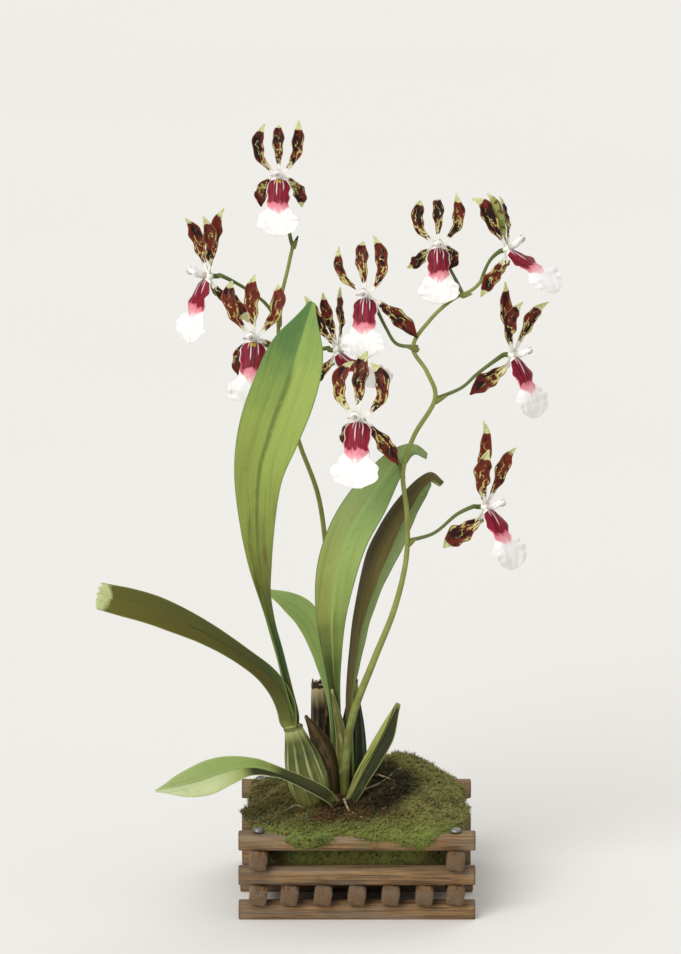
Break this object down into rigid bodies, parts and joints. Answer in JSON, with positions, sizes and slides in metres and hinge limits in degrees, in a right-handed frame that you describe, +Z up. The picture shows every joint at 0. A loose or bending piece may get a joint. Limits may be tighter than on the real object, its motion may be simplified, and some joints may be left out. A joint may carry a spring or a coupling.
{
  "type": "orchid plant in a slatted basket",
  "caption": "Odontoglossum-type orchid with ribbed pseudobulbs, strap leaves and branched sprays of mahogany flowers with white and crimson lips, in moss in a square slatted basket.",
  "frame": {"origin": "middle of the basket's underside, on the lower face of its middle bearer", "axes": "+Z up along the plant, -Y towards the viewer that the flowers face, +X to the viewer's right"},
  "size_m": [0.2538, 0.13, 0.4338],
  "materials": {
    "basket_wood": "weathered open-grained hardwood, unpainted",
    "basket_wire": "dull galvanised wire",
    "rhizome": "rough brown rhizome with pale corky roots",
    "pseudobulb": "ribbed green plant flesh, satin",
    "leaf": "smooth strap leaf, satin, dark and light green",
    "sheath": "dry papery sheath, brown to pale green",
    "flower_stem": "smooth olive-green stem",
    "petal": "mahogany-brown petal blotched yellow-green, soft satin",
    "lip": "white petal with a crimson and pink throat, soft satin",
    "moss": "matted moss and peat, rough"
  },
  "bodies": {
    "root": {"basket_slat_front_1": "basket_wood", "basket_slat_front_3": "basket_wood", "basket_slat_front_5": "basket_wood", "basket_slat_back_1": "basket_wood", "basket_slat_back_3": "basket_wood", "basket_slat_back_5": "basket_wood", "basket_slat_left_2": "basket_wood", "basket_slat_left_4": "basket_wood", "basket_slat_right_2": "basket_wood", "basket_slat_right_4": "basket_wood", "basket_bearer": "basket_wood", "basket_floor_slat_1": "basket_wood", "basket_floor_slat_2": "basket_wood", "basket_floor_slat_3": "basket_wood", "basket_floor_slat_4": "basket_wood", "basket_floor_slat_5": "basket_wood", "basket_pin_1": "basket_wire", "basket_pin_2": "basket_wire", "basket_pin_3": "basket_wire", "basket_pin_4": "basket_wire", "rhizome": "rhizome", "pseudobulb_front": "pseudobulb", "pseudobulb_centre": "pseudobulb", "pseudobulb_back": "pseudobulb", "leaf_tall": "leaf", "leaf_arching": "leaf", "leaf_low": "leaf", "leaf_behind": "leaf", "leaf_centre": "leaf", "leaf_dark": "leaf", "sheath_brown": "sheath", "sheath_pale": "sheath", "sheath_shoot": "sheath", "flower_spike_left": "flower_stem", "flower_spike_right": "flower_stem", "bloom_01_petals": "petal", "bloom_02_petals": "petal", "bloom_03_petals": "petal", "bloom_04_petals": "petal", "bloom_05_petals": "petal", "bloom_06_petals": "petal", "bloom_07_petals": "petal", "bloom_08_petals": "petal", "bloom_09_petals": "petal", "bloom_10_petals": "petal", "bloom_01_lip": "lip", "bloom_02_lip": "lip", "bloom_03_lip": "lip", "bloom_04_lip": "lip", "bloom_05_lip": "lip", "bloom_06_lip": "lip", "bloom_07_lip": "lip", "bloom_08_lip": "lip", "bloom_09_lip": "lip", "bloom_10_lip": "lip", "moss_mound": "moss"}
  },
  "joints": []
}
